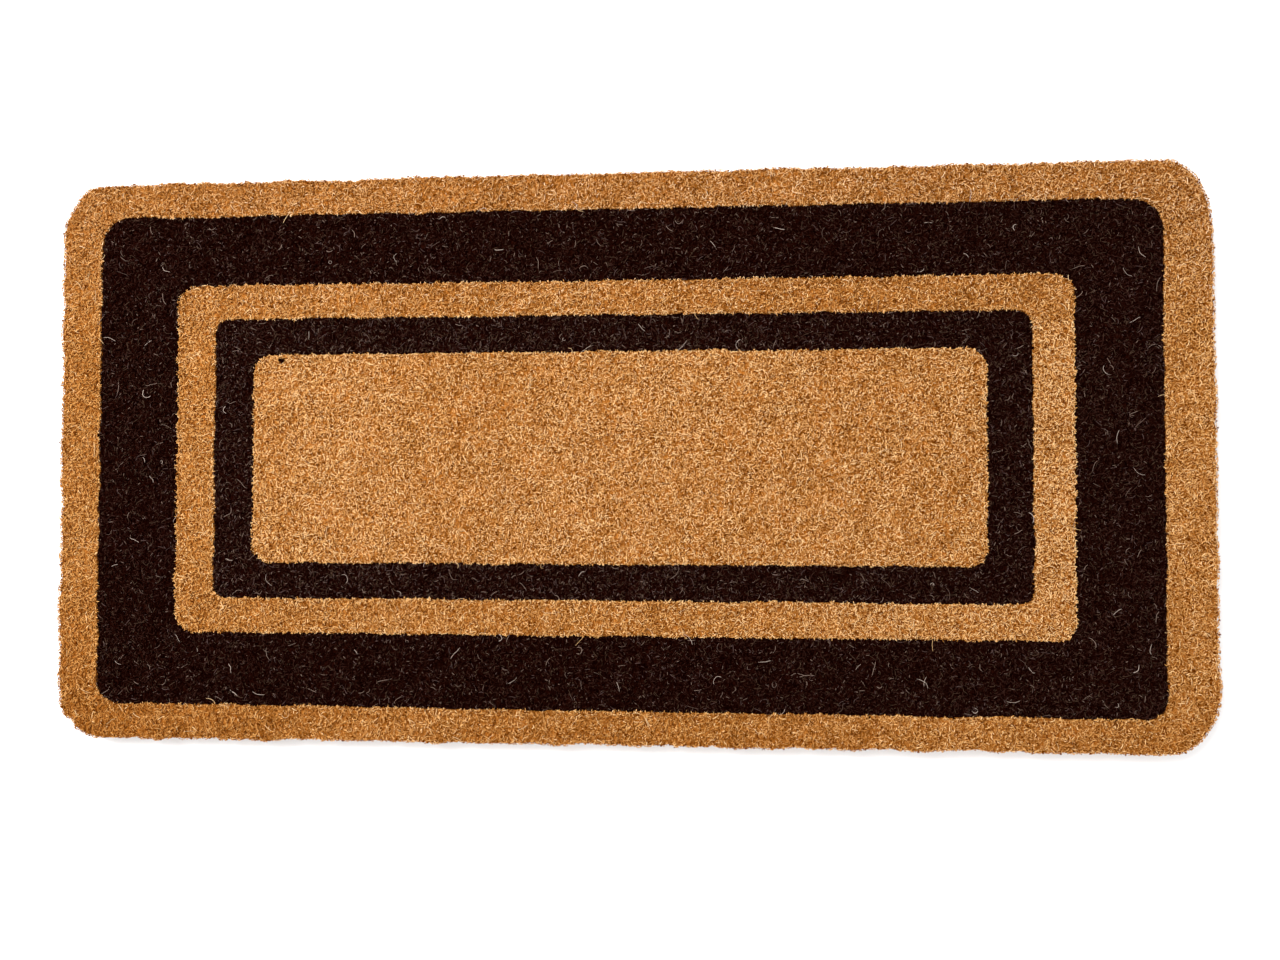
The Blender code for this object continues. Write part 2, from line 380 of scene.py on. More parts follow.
def surface_height(flat):
    """Height of the sheared pile: level inside, rolling over at the rim."""
    near = np.clip(1.0 - RIM.depth(flat) / RIM_ROLL_WIDTH, 0.0, 1.0)
    roll = RIM_ROLL_DROP * (1.0 - np.sqrt(1.0 - 0.98 * near**2))
    rows = ROW_HEIGHT * np.cos(2 * math.pi * flat[..., 1] / CHAIN_PITCH)
    picks = PICK_HEIGHT * np.cos(2 * math.pi * flat[..., 0] / PICK_PITCH)
    return PILE_TOP - roll + rows + picks


def place_on_mat(flat):
    """Plan places as X and Y from -1 to 1 over the mat's outline."""
    return ((flat - RIM.centre) / RIM.half).T


def zone_of(flat):
    """The zone each point is in, counted from the rim; -1 off the mat."""
    return sum((outline.depth(flat) > 0.0).astype(int) for outline in OUTLINES) - 1


# ---------------------------------------------------------------- meshes


def add_piece(name, mesh, nodes=()):
    """Links a finished mesh, rides it on the mat's body and hides the CAD parts it stands for."""
    piece = bpy.data.objects.new(name, mesh)
    bpy.context.scene.collection.objects.link(piece)
    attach(piece, BODY)
    if nodes:
        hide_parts(*nodes)
    return piece


def mesh_from_arrays(name, vertices, polygons, materials, tints=None):
    """A smooth-shaded mesh from vertex rows and lists of same-sided polygon arrays."""
    mesh = bpy.data.meshes.new(name)
    corners = np.concatenate([group.ravel() for group in polygons])
    sizes = np.concatenate([np.full(len(group), group.shape[1]) for group in polygons])
    starts = np.concatenate([[0], np.cumsum(sizes)[:-1]])
    mesh.vertices.add(len(vertices))
    mesh.vertices.foreach_set("co", vertices.astype(np.float32).ravel())
    mesh.loops.add(len(corners))
    mesh.loops.foreach_set("vertex_index", corners.astype(np.int32))
    mesh.polygons.add(len(sizes))
    mesh.polygons.foreach_set("loop_start", starts.astype(np.int32))
    mesh.polygons.foreach_set("use_smooth", np.ones(len(sizes), bool))
    if tints is not None:
        mesh.polygons.foreach_set("material_index", tints.astype(np.int32))
    for material in materials:
        mesh.materials.append(material)
    mesh.update(calc_edges=True)
    mesh.validate()
    return mesh


def unit(vectors):
    """The vectors scaled to length one."""
    return vectors / (np.linalg.norm(vectors, axis=-1, keepdims=True) + 1e-12)


def ring_points(path, radius, first, second, sides):
    """Points in rings round paths, in the plane of two unit directions at each place."""
    turn = np.arange(sides)[:, None] * 2 * math.pi / sides
    spread = np.cos(turn) * first[..., None, :] + np.sin(turn) * second[..., None, :]
    return path[..., None, :] + radius * spread


def wall_quads(below, above, sides):
    """Quads that join rings of points in pairs; below and above hold each ring's first index."""
    here = np.arange(sides)
    beside = (here + 1) % sides
    low, high = np.reshape(below, (-1, 1)), np.reshape(above, (-1, 1))
    return np.stack([low + here, low + beside, high + beside, high + here], 2).reshape(-1, 4)


def strand_arrays(paths, radius):
    """Closed strands, pointed at both ends, along paths of shape (strands, points, 3).

    Returns the vertices, the polygon groups and, for each group, which strand a polygon is on.
    """
    count, steps, _ = paths.shape
    sides = FIBRE_SIDES
    tangent = unit(np.gradient(paths, axis=1))
    run = paths[:, -1] - paths[:, 0]
    across = unit(np.stack([-run[:, 1], run[:, 0], np.full(count, 1e-7)], 1))[:, None, :]
    across = unit(across - (across * tangent).sum(2, keepdims=True) * tangent)
    upward = np.cross(tangent, across)
    rings = steps - 2
    middle = slice(1, -1)
    wide = np.reshape(radius, (-1, 1, 1, 1))
    body = ring_points(paths[:, middle], wide, across[:, middle], upward[:, middle], sides)
    per_strand = rings * sides + 2
    vertices = np.empty((count, per_strand, 3))
    vertices[:, 0] = paths[:, 0]
    vertices[:, middle] = body.reshape(count, rings * sides, 3)
    vertices[:, -1] = paths[:, -1]
    here = np.arange(sides)
    beside = (here + 1) % sides
    first = 1 + here
    last = 1 + (rings - 1) * sides
    root = np.stack([np.zeros(sides, int), 1 + beside, first], 1)
    tip = np.stack([last + here, last + beside, np.full(sides, per_strand - 1)], 1)
    ends = np.concatenate([root, tip])
    offsets = np.arange(count)[:, None, None] * per_strand
    groups = [(ends[None] + offsets).reshape(-1, 3)]
    owners = [np.repeat(np.arange(count), len(ends))]
    if rings > 1:
        lower = np.arange(1, last, sides)
        wall = wall_quads(lower, lower + sides, sides)
        groups.append((wall[None] + offsets).reshape(-1, 4))
        owners.append(np.repeat(np.arange(count), len(wall)))
    return vertices.reshape(-1, 3), groups, owners


def add_strands(name, paths, radius, tint, materials):
    """One piece, or several numbered ones split along X, holding all the strands."""
    triangles = 2 * FIBRE_SIDES * (paths.shape[1] - 2)  # in each strand
    allowed = MAX_PIECE_FACES // triangles
    parts = max(1, math.ceil(len(paths) / allowed))
    order = np.argsort(paths[:, 0, 0], kind="stable")
    for part, chosen in enumerate(np.array_split(order, parts)):
        vertices, groups, owners = strand_arrays(paths[chosen], radius[chosen])
        tints = np.concatenate([tint[chosen][owner] for owner in owners])
        piece_name = name if parts == 1 else f"{name}_{part + 1}"
        mesh = mesh_from_arrays(piece_name, vertices, groups, materials, tints)
        add_piece(piece_name, mesh)


def tube_arrays(path, section_radii, closed):
    """A tube along a path with a radius for each point and side; closed joins its ends."""
    steps, sides = section_radii.shape
    if closed:
        tangent = np.roll(path, -1, axis=0) - np.roll(path, 1, axis=0)
    else:
        tangent = np.gradient(path, axis=0)
    tangent = unit(tangent)
    across = unit(np.cross(tangent, (0.0, 0.0, 1.0)))
    upward = np.cross(across, tangent)
    vertices = ring_points(path, section_radii[..., None], across, upward, sides)
    rows = np.arange(steps if closed else steps - 1)
    quads = wall_quads((rows + 1) % steps * sides, rows * sides, sides)
    groups = [np.roll(quads, 1, axis=1)]
    if not closed:
        cap = np.arange(sides)[None, :]
        groups += [cap, cap[:, ::-1] + (steps - 1) * sides]
    return vertices.reshape(-1, 3), groups


def joined(pieces):
    """Joins (vertices, groups) pairs into one, keeping groups of the same size together."""
    vertices, by_size, offset = [], {}, 0
    for points, groups in pieces:
        vertices.append(points)
        for group in groups:
            by_size.setdefault(group.shape[1], []).append(group + offset)
        offset += len(points)
    return np.concatenate(vertices), [np.concatenate(v) for v in by_size.values()]


# ---------------------------------------------------------------- materials


def plain_material(name, colour, roughness, gloss):
    """One plain colour. A zone's fibres are mixed from several such tints."""
    material = bpy.data.materials.new(name)
    material.use_nodes = True
    shader = material.node_tree.nodes["Principled BSDF"]
    shader.inputs["Base Color"].default_value = (*colour, 1.0)
    shader.inputs["Roughness"].default_value = roughness
    shader.inputs["Specular IOR Level"].default_value = gloss
    return material


def add_node(tree, kind, **values):
    """A shader node with its properties and inputs set by name."""
    node = tree.nodes.new(kind)
    for key, value in values.items():
        if key in node.inputs:
            node.inputs[key].default_value = value
        else:
            setattr(node, key.lower().replace(" ", "_"), value)
    return node


def crossing_strands(tree, position, fineness):
    """Brightness of fine strands that cross each other: stretched noise at several angles."""
    result = None
    for index, turn in enumerate(STRAND_TURNS):
        place = add_node(tree, "ShaderNodeMapping")
        place.inputs["Rotation"].default_value = (0.0, 0.0, math.radians(turn))
        place.inputs["Scale"].default_value = (1.0, STRAND_STRETCH, 1.0)
        place.inputs["Location"].default_value = (0.7 * index, 0.3 * index, 0.0)
        noise = add_node(tree, "ShaderNodeTexNoise", Scale=fineness, Detail=1.5, Distortion=0.6)
        tree.links.new(position, place.inputs["Vector"])
        tree.links.new(place.outputs["Vector"], noise.inputs["Vector"])
        if result is None:
            result = noise.outputs["Fac"]
        else:
            lighter = add_node(tree, "ShaderNodeMath", operation="MAXIMUM")
            tree.links.new(result, lighter.inputs[0])
            tree.links.new(noise.outputs["Fac"], lighter.inputs[1])
            result = lighter.outputs[0]
    return result


def coir_material(name, shades, roughness, fineness=900.0, gloss=0.08):
    """Packed coir: crossing strands in a run of shades, patchy tone and a rough relief."""
    material = bpy.data.materials.new(name)
    material.use_nodes = True
    tree = material.node_tree
    shader = tree.nodes["Principled BSDF"]
    shader.inputs["Specular IOR Level"].default_value = gloss
    place = add_node(tree, "ShaderNodeTexCoord").outputs["Object"]
    strands = crossing_strands(tree, place, fineness)
    ramp = add_node(tree, "ShaderNodeValToRGB")
    ramp.color_ramp.interpolation = "LINEAR"
    stops = np.linspace(*SHADE_STOPS, len(shades))
    while len(ramp.color_ramp.elements) < len(shades):
        ramp.color_ramp.elements.new(0.5)
    for element, stop, shade in zip(ramp.color_ramp.elements, stops, shades):
        element.position = stop
        element.color = (*shade, 1.0)
    tree.links.new(strands, ramp.inputs["Fac"])
    patches = add_node(tree, "ShaderNodeTexNoise", Scale=PATCH_FINENESS, Detail=3.0)
    tree.links.new(place, patches.inputs["Vector"])
    tone = add_node(tree, "ShaderNodeMapRange", **PATCH_TONE)
    tree.links.new(patches.outputs["Fac"], tone.inputs["Value"])
    toned = add_node(tree, "ShaderNodeVectorMath", operation="SCALE")
    tree.links.new(ramp.outputs["Color"], toned.inputs[0])
    tree.links.new(tone.outputs["Result"], toned.inputs["Scale"])
    tree.links.new(toned.outputs["Vector"], shader.inputs["Base Color"])
    smooth, rough = roughness - 0.12, min(roughness + 0.1, 1.0)
    wear = add_node(tree, "ShaderNodeMapRange", **{"To Min": smooth, "To Max": rough})
    tree.links.new(strands, wear.inputs["Value"])
    tree.links.new(wear.outputs["Result"], shader.inputs["Roughness"])
    relief = add_node(tree, "ShaderNodeBump", Strength=0.8, Distance=RELIEF_DEPTH)
    tree.links.new(strands, relief.inputs["Height"])
    tree.links.new(relief.outputs["Normal"], shader.inputs["Normal"])
    return material


# ---------------------------------------------------------------- pile


def steps_for(outline):
    """Steps on the long sides, short sides and corners for an even ground grid."""
    radius = outline.radii.mean()
    along = [max(2, round(2 * side / GROUND_GRID)) for side in outline.half - radius]
    return along[0], along[1], max(5, round(radius * math.pi / 2 / GROUND_GRID))


def ground_rows(zone):
    """The ground's rows from the outer foot over the top to the inner foot.

    Each row is its plan points, their heights and whether it lies in the rough top.
    """
    outer = OUTLINES[zone]
    steps = steps_for(outer)
    start = outer.loop(*steps)
    rows = []
    if zone == 0:
        for inset, rise in GROUND_SIDE:
            loop = outer.inset(inset * MM).loop(*steps)
            rows.append((loop, np.full(len(loop), PILE_BOTTOM + rise * MM), False))
        start = rows[0][0]
    else:
        rows.append((start, np.full(len(start), PILE_BOTTOM), False))
    if zone < LAST_ZONE:
        inner_outline = OUTLINES[zone + 1].inset(-0.3 * MM)
        width = float((outer.half - inner_outline.half).mean())
    else:
        ridge = outer.half[0] - outer.half[1]
        inner_outline = Outline(outer.centre, (ridge, 0.0), np.zeros((4, 2)))
        width = float(outer.half[1])
    inner = inner_outline.loop(*steps)
    count = max(4, round(width / GROUND_GRID))
    for share in np.linspace(0.0, 1.0, count + 1):
        loop = start + (inner - start) * share
        rows.append((loop, surface_height(loop) - GROUND_DROP, True))
    rows.append((inner, np.full(len(inner), PILE_BOTTOM), False))
    return rows


def build_ground(zone, material):
    """A closed solid of packed coir with a lumpy top, in place of a pile zone of the frame."""
    node, family = ZONES[zone]
    rng = np.random.default_rng(100 + zone)
    rows = ground_rows(zone)
    size, count = len(rows[0][0]), len(rows)
    layers = []
    for loop, height, rough in rows:
        if rough:
            height = height + GROUND_LUMP * LUMPS(loop) + rng.normal(0, GROUND_GRAIN, size)
        layers.append(np.column_stack([loop, height]))
    joins = list(range(count))
    if zone == LAST_ZONE:
        # the centre field's rows meet along a ridge line: level there, and without an inner wall
        layers[-2][:, 2] = PILE_TOP - GROUND_DROP
        joins.remove(count - 2)
    vertices = waver(np.concatenate(layers))
    below = np.array(joins)
    quads = wall_quads(below * size, (below + 1) % count * size, size)
    name = "ground_" + node
    mesh = mesh_from_arrays(name, vertices, [quads], [material])
    if zone == LAST_ZONE:
        merge_ridge(mesh)
    add_piece(name, mesh, nodes=(node,))


def merge_ridge(mesh):
    """Joins the coincident points of the centre field's ridge and drops the faces they flatten."""
    bm = bmesh.new()
    bm.from_mesh(mesh)
    bmesh.ops.remove_doubles(bm, verts=bm.verts[:], dist=1e-6)
    bmesh.ops.dissolve_degenerate(bm, dist=1e-7, edges=bm.edges[:])
    bm.to_mesh(mesh)
    bm.free()


def scatter(rng, spacing):
    """Jittered grid points over the mat's outline."""
    low, high = RIM.centre - RIM.half, RIM.centre + RIM.half
    across = np.arange(low[0], high[0], spacing)
    along = np.arange(low[1], high[1], spacing)
    grid = np.stack(np.meshgrid(across, along), -1).reshape(-1, 2)
    points = grid + rng.uniform(0, spacing, grid.shape)
    return points[RIM.depth(points) > 0.6 * MM]


def fibre_plan(roots, heading, curl, reach, path):
    """Plan points of fibres that set off along a heading and turn by the curl on the way."""
    plan = [roots]
    for start, end in zip(path[:-1], path[1:]):
        angle = heading + curl * (start + end) / 2
        stride = (reach * (end - start))[:, None] * np.stack([np.cos(angle), np.sin(angle)], 1)
        plan.append(plan[-1] + stride)
    return np.stack(plan, 1)


def stays_in_zone(plan, zone, slack):
    """Whether every point of a fibre stays in its own zone, give or take the slack."""
    fine = np.ones(len(plan), bool)
    for index, outline in enumerate(OUTLINES):
        depth = outline.depth(plan[:, 1:])
        inside = (zone >= index)[:, None]
        room = -0.2 * MM if index == 0 else slack[:, None]
        fine &= np.where(inside, depth > -room, depth < room).all(axis=1)
    return fine


def outward_heading(points):
    """The direction from the mat's inside to the nearest rim, as an angle."""
    step = 0.2 * MM
    slope_x = RIM.depth(points + (step, 0.0)) - RIM.depth(points - (step, 0.0))
    slope_y = RIM.depth(points + (0.0, step)) - RIM.depth(points - (0.0, step))
    return np.arctan2(-slope_y, -slope_x)


def edge_slack(rng, roots, zone):
    """How far each fibre may lean over its zone's edge: in ragged clumps, with gaps between."""
    favoured = np.isin(zone, NATURAL_ZONES) * 2 - 1
    clump = np.clip(0.5 + 1.1 * favoured * CLUMPS(roots), 0.0, MOST_SLACK)
    return clump * rng.uniform(*SLACK_RANGE, len(roots)) * MM


def plan_in_zone(rng, roots, zone, layer):
    """Plan paths in random directions; those that leave their zone are turned and shortened."""
    count, path = len(roots), layer["path"]
    slack = edge_slack(rng, roots, zone)
    reach = rng.uniform(*layer["reach"], count) * MM
    curl = rng.normal(0, CURL_TURN, count)
    heading = rng.uniform(-math.pi, math.pi, count)
    near_rim = np.clip(1.0 - RIM.depth(roots) / LEAN_WIDTH, 0, 1)
    lean_out = rng.uniform(0, 1, count) < LEAN_SHARE * near_rim
    outward = outward_heading(roots) + rng.normal(0, LEAN_SPREAD, count)
    heading = np.where(lean_out, outward, heading)
    plan = fibre_plan(roots, heading, curl, reach, path)
    for attempt in range(TURN_TRIES + 1):
        stray = ~stays_in_zone(plan, zone, slack)
        if attempt < TURN_TRIES:
            heading[stray] = rng.uniform(-math.pi, math.pi, stray.sum())
        reach[stray] *= SHORTER if attempt < TURN_TRIES else SHORTEST
        plan[stray] = fibre_plan(roots[stray], heading[stray], curl[stray], reach[stray], path)
    return plan


def lay_fibres(rng, roots, layer):
    """Paths of one layer's fibres: each rises out of the ground, bends over and ends near level."""
    count = len(roots)
    zone = zone_of(roots)
    plan = plan_in_zone(rng, roots, zone, layer)
    lift = rng.normal(layer["level"] * MM, LIFT_SPREAD, (count, 1))
    tip_drop = rng.normal(0, TIP_SPREAD, (count, 1)) * np.array(layer["path"]) ** 2
    height = surface_height(plan) + np.array(layer["arch"]) * MM + lift + tip_drop
    height = np.minimum(height, PILE_TOP + HIGHEST)
    return waver(np.dstack([plan, height])), zone


def tone_and_painted_falloff(flat):
    """Tone of the natural pile: darker on the border and its left end, and darker towards the long sides
    and the ends, which is painted shade of the light falling off.
    """
    x, y = place_on_mat(flat)
    zone = zone_of(flat)
    right = np.maximum(x, 0.0)
    far = 0.2 + 1.1 * right  # the middle band's far side is darker, and more so to the right
    tones = {
        0: 0.26 * x - 0.14,
        2: 0.20 * x + right**2 - far * (y > MIDDLE_BAND_Y) - 0.12,
        LAST_ZONE: 0.06 + 0.4 * x**2,
    }
    local = sum(np.where(zone == index, tone, 0.0) for index, tone in tones.items())
    row_phase = 2 * math.pi * flat[:, 1] / CHAIN_PITCH
    rows = ROW_TONE[0] * np.cos(row_phase) + ROW_TONE[1] * np.cos(2 * row_phase)
    # painted shade: the squared terms darken the long sides and the ends, where the light falls off
    return local + rows - 0.75 * y**2 - 0.2 * x**2 + DRIFT_TONE * DRIFT(flat)


def dye_tone(flat):
    """Tone of the dyed pile over the mat: the narrow band is paler, and so are the ends."""
    x = place_on_mat(flat)[0]
    return np.where(zone_of(flat) == 3, 0.50, 0.25 * x + 0.35 * x**2)


def tint_spread(flat):
    """How widely the tints spread at each place: less towards the mat's ends."""
    x = place_on_mat(flat)[0]
    zone = np.clip(zone_of(flat), 0, LAST_ZONE)
    slope = np.where(np.isin(zone, NATURAL_ZONES), 0.10, -0.08)
    return np.choose(zone, TINT_SPREAD) * (1.0 + slope * x - 0.28 * x**2)


def is_dull(flat):
    """Which natural fibres are dull: none on the near side and all of them at the far side."""
    y = place_on_mat(flat)[1]
    even = np.arange(len(flat)) * GOLDEN % 1.0
    return even < (y - DULL_FROM) / (DULL_TO - DULL_FROM)


def tint_of(rng, paths, family, tone):
    """A tint index for each fibre, which drifts with the patchy tone of the pile and, on natural pile,
    with the painted shade of the light's falloff.
    """
    flat = paths[..., :2].mean(1)
    natural = family == "natural"
    count = len(NATURAL_TINTS if natural else DARK_TINTS)
    middle = MIDDLE_TINT[family] + (tone_and_painted_falloff(flat) if natural else dye_tone(flat))
    odd = np.where(rng.uniform(0, 1, len(flat)) < ODD_SHARE, ODD_SPREAD, PLAIN_SPREAD)
    off_middle = tint_spread(flat) * odd * rng.normal(0, 1, len(flat))
    shade = middle + tone + off_middle + PATCH_SHADE * TONE(flat)
    tint = np.clip(np.round(shade), 0, count - 1).astype(int)
    if natural:
        away = np.linalg.norm(paths[..., :2] - dye_spot_place(), axis=2)
        tint[is_dull(flat)] += count + 1
        tint[away.min(axis=1) < DYE_SPOT_RADIUS] = count
    return tint


def dye_spot_place():
    """Where the spot of dye lies in plan."""
    field = OUTLINES[-1]
    return field.centre + field.half * (-1, 1) + np.array(DYE_SPOT) * (1, -1)


def build_fibres(tints):
    """Every layer of fibres, with a piece or more for each of the five zones."""
    for layer in LAYERS:
        rng = np.random.default_rng(layer["seed"])
        roots = scatter(rng, layer["spacing"] * MM)
        # The dark specks are painted shadow of the gaps between tufts, laid in patches
        if "patchy" in layer:
            chance = PATCHES(roots) + rng.normal(0, SHADOW_SPECK_SCATTER, len(roots))
            chance += SHADOW_SPECK_DRIFT * place_on_mat(roots)[0]
            roots = roots[chance + layer["patchy"] > 0.0]
        paths, zone = lay_fibres(rng, roots, layer)
        radius = layer["radius"] * MM * rng.uniform(*RADIUS_RANGE, len(roots))
        for index, (node, family) in enumerate(ZONES):
            mine = zone == index
            # the layer's tone is painted shade or light by depth, or painted shadow for the dark specks
            tint = tint_of(rng, paths[mine], family, layer["tone"])
            name = node.replace("pile", layer["name"])
            add_strands(name, paths[mine], radius[mine], tint, tints[family])


def build_edge_tufts(tints):
    """Tufts of natural fibre that lean over the dark bands, so the edges look ragged."""
    rng = np.random.default_rng(TUFTS["seed"])
    arch = np.array(TUFTS["arch"]) * MM
    for index in range(1, len(OUTLINES)):
        outline = OUTLINES[index]
        perimeter = 4 * outline.half.sum()
        points, outward = outline.walk(round(perimeter / (TUFTS["spacing"] * MM)), rng)
        clump = CLUMPS(points)
        keep = clump + rng.normal(0, 0.35, len(points)) > 0.0
        points, outward, clump = points[keep], outward[keep], clump[keep]
        count = len(points)
        over = outward if index in NATURAL_ZONES else -outward
        roots = points - over * rng.uniform(*TUFTS["setback"], (count, 1)) * MM
        heading = np.arctan2(over[:, 1], over[:, 0]) + rng.normal(0, TUFTS["turn"], count)
        fuller = 0.75 + 0.25 * np.clip(clump, 0.0, 2.0)
        reach = rng.uniform(*TUFTS["reach"], count) * fuller * MM
        reach *= OUTER_REACH if index in NATURAL_ZONES else 1.0
        curl = rng.normal(0, TUFTS["curl"], count)
        plan = fibre_plan(roots, heading, curl, reach, TUFTS["path"])
        lift = rng.normal(*np.array(TUFTS["lift"]) * MM, (count, 1))
        paths = waver(np.dstack([plan, surface_height(plan) + arch + lift]))
        radius = rng.uniform(*TUFTS["radius"], count) * MM
        zone = index if index in NATURAL_ZONES else index - 1
        # painted highlight: the tufts take a paler tone
        tint = tint_of(rng, paths, "natural", TUFTS["tone"])
        name = ZONES[zone][0].replace("pile", "tufts") + ("_outer" if zone == index else "_inner")
        add_strands(name, paths, radius, tint, tints["natural"])


def build_rim_bristles(tints):
    """Upright fibres that make the mat's side, flaring out over the edge cord."""
    rng = np.random.default_rng(400)
    count, steps = BRISTLE_COUNT, len(BRISTLE_INSETS)
    points, outward = RIM.walk(count, rng)
    along = np.stack([-outward[:, 1], outward[:, 0]], 1)
    top = rng.uniform(*BRISTLE_TOP, count) * MM
    bulge = BRISTLE_BULGE * LUMPS(points)
    drift = rng.normal(0, BRISTLE_DRIFT, count)
    wave = rng.normal(0, BRISTLE_WAVE, (count, steps))
    rows = []
    for step, inset_range in enumerate(BRISTLE_INSETS):
        share = step / (steps - 1)
        inset = rng.uniform(*inset_range, count) - bulge * share
        flat = points - outward * (inset * MM)[:, None]
        flat = flat + along * (drift * share + wave[:, step])[:, None]
        height = PILE_BOTTOM + (top - PILE_BOTTOM) * share
        rows.append(np.column_stack([flat, height]))
    paths = waver(np.stack(rows, 1))
    radius = rng.uniform(*BRISTLE_RADIUS, count) * MM
    tint = tint_of(rng, paths, "natural", BRISTLE_TONE)
    add_strands("bristles_rim", paths, radius, tint, tints["natural"])


def build_dye_spot(tints):
    """A tuft of short dyed fibres in the middle of the spot of dye."""
    rng = np.random.default_rng(DYED["seed"])
    count = DYED["count"]
    roots = dye_spot_place() + rng.normal(0, DYED["spread"] * DYE_SPOT_RADIUS, (count, 2))
    heading = rng.uniform(-math.pi, math.pi, count)
    curl = rng.normal(0, CURL_TURN, count)
    reach = rng.uniform(*DYED["reach"], count) * MM
    plan = fibre_plan(roots, heading, curl, reach, DYED["path"])
    height = surface_height(plan) + np.array(DYED["arch"]) * MM
    radius = rng.uniform(*DYED["radius"], count) * MM
    tint = rng.integers(0, 2, count)
    paths = np.dstack([plan, height])
    add_strands("dyed_tuft", paths, radius, tint, tints["dark"])


def build_strays(stray_tints):
    """Long pale fibres that lie loose on the pile, some of them curled."""
    rng = np.random.default_rng(LOOSE["seed"])
    share = np.linspace(0.0, 1.0, LOOSE["points"])
    arch = (LOOSE["rise"] * np.sin(math.pi * share) ** 0.5 - LOOSE["sink"]) * MM
    for family, spacing in LOOSE["spacing"].items():
        roots = scatter(rng, spacing * MM)
        count = len(roots)
        heading = rng.uniform(-math.pi, math.pi, count)
        curl = rng.normal(0, LOOSE["curl"], count)
        curl += np.where(rng.uniform(0, 1, count) < COILED_SHARE, COILED_TURN, 0.0)
        reach = rng.uniform(*LOOSE["reach"], count) * MM
        plan = fibre_plan(roots, heading, curl, reach, share)
        mine = np.isin(zone_of(roots), [i for i, zone in enumerate(ZONES) if zone[1] == family])
        mine &= (RIM.depth(plan) > 1.0 * MM).all(axis=1)
        paths = waver(np.dstack([plan, surface_height(plan) + arch]))[mine]
        radius = rng.uniform(*LOOSE["radius"], count)[mine] * MM
        tint = rng.integers(0, len(stray_tints[family]), count)[mine]
        add_strands("strays_" + family, paths, radius, tint, stray_tints[family])


# ---------------------------------------------------------------- base


def build_chains(material):
    """Each warp chain as a flattened cord with slanted plies, in place of its CAD bar."""
    for node in sorted(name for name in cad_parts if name.startswith("warp_chain")):
        low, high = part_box(node)
        middle = (low[1] + high[1]) / 2
        wide, tall = (high[1] - low[1]) / 2, (high[2] - low[2]) / 2
        steps = round((high[0] - low[0]) / CHAIN_STEP)
        along = np.linspace(low[0], high[0], steps)
        turn = np.arange(CHAIN_SIDES) * 2 * math.pi / CHAIN_SIDES
        phase = 2 * math.pi * along[:, None] / PLY_PITCH
        ply = 0.90 + 0.10 * np.cos(2 * turn[None, :] - phase)
        ply[[0, -1]] *= 0.55  # the ends are drawn in
        y = middle + wide * ply * np.cos(turn)
        z = np.maximum(low[2] + tall + 1.08 * tall * ply * np.sin(turn), low[2])
        x = np.broadcast_to(along[:, None], y.shape)
        vertices = np.stack([x, y, z], 2).reshape(-1, 3)
        rings = np.arange(steps) * CHAIN_SIDES
        quads = wall_quads(rings[:-1], rings[1:], CHAIN_SIDES)
        cap = np.arange(CHAIN_SIDES)
        caps = np.stack([cap[::-1], cap + rings[-1]])
        name = "woven_" + node
        mesh = mesh_from_arrays(name, vertices, [quads, caps], [material])
        add_piece(name, mesh, nodes=(node,))


def weft_route(height, radius):
    """The weft's centreline to and fro across the mat, sinking a little between the chains."""
    inner = RIM.inset(WEFT_INSET)
    picks = (np.arange(PICK_COUNT) - (PICK_COUNT - 1) / 2) * PICK_PITCH
    reach = np.array([reach_across(inner, x) for x in picks])
    turns = np.minimum(reach[:-1], reach[1:])  # how far out the turn after each pick lies
    crossings = np.arange(-13.5, 14.0, 0.5) * CHAIN_PITCH
    route, side = [], -1
    for index in range(PICK_COUNT - 1):
        before = reach[0] if index == 0 else turns[index - 1]
        free = min(before, turns[index]) - radius
        inside = crossings[np.abs(crossings) < free]
        for y in inside[::-side]:
            dip = WEFT_DIP * (1 - math.cos(2 * math.pi * y / CHAIN_PITCH)) / 2
            route.append((picks[index], y, height - dip))
        end = -side * turns[index]
        halfway = (picks[index] + picks[index + 1]) / 2
        route.append((picks[index] + 0.5 * MM, end, height))
        route.append((halfway, end - side * WEFT_BULGE, height))
        route.append((picks[index + 1] - 0.5 * MM, end, height))
        side = -side
    return np.array(route)


def build_weft(material):
    """The weft as one round cord."""
    low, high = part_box("weft_cord")
    radius = (high[2] - low[2]) / 2
    path = weft_route(low[2] + radius, radius)
    vertices, groups = tube_arrays(path, np.full((len(path), 5), radius), closed=False)
    mesh = mesh_from_arrays("woven_weft_cord", vertices, groups, [material])
    add_piece("woven_weft_cord", mesh, nodes=("weft_cord",))


def reach_across(outline, x):
    """How far an outline reaches along Y at a place along X."""
    radius = outline.radii.max()
    past = abs(x - outline.centre[0]) - (outline.half[0] - radius)
    if past <= 0.0:
        return outline.half[1]
    return outline.half[1] - radius + math.sqrt(max(radius**2 - past**2, 0.0))


def build_edge_cord(material):
    """A rope of twisted strands round the base. Returns its line, thickness and foot height."""
    low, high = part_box("edge_cord")
    thick = high[2] - low[2]
    centre = ((low[0] + high[0]) / 2, (low[1] + high[1]) / 2)
    half = ((high[0] - low[0] - thick) / 2, (high[1] - low[1] - thick) / 2)
    line = Outline(centre, half, RIM.radii - (RIM.half[0] - half[0]))
    points, outward = line.walk(ROPE_POINTS)
    strand_radius, twist_radius = STRAND_RADIUS * thick, TWIST_RADIUS * thick
    parts = []
    for strand in range(ROPE_STRANDS):
        turns = np.arange(len(points)) * ROPE_TWISTS / len(points) + strand / ROPE_STRANDS
        angle = 2 * math.pi * turns
        flat = points + outward * (twist_radius * np.cos(angle))[:, None]
        path = np.column_stack([flat, low[2] + thick / 2 + twist_radius * np.sin(angle)])
        parts.append(tube_arrays(path, np.full((len(path), 6), strand_radius), closed=True))
    vertices, groups = joined(parts)
    mesh = mesh_from_arrays("rope_edge_cord", vertices, groups, [material])
    add_piece("rope_edge_cord", mesh, nodes=("edge_cord",))
    return line, thick, low[2]


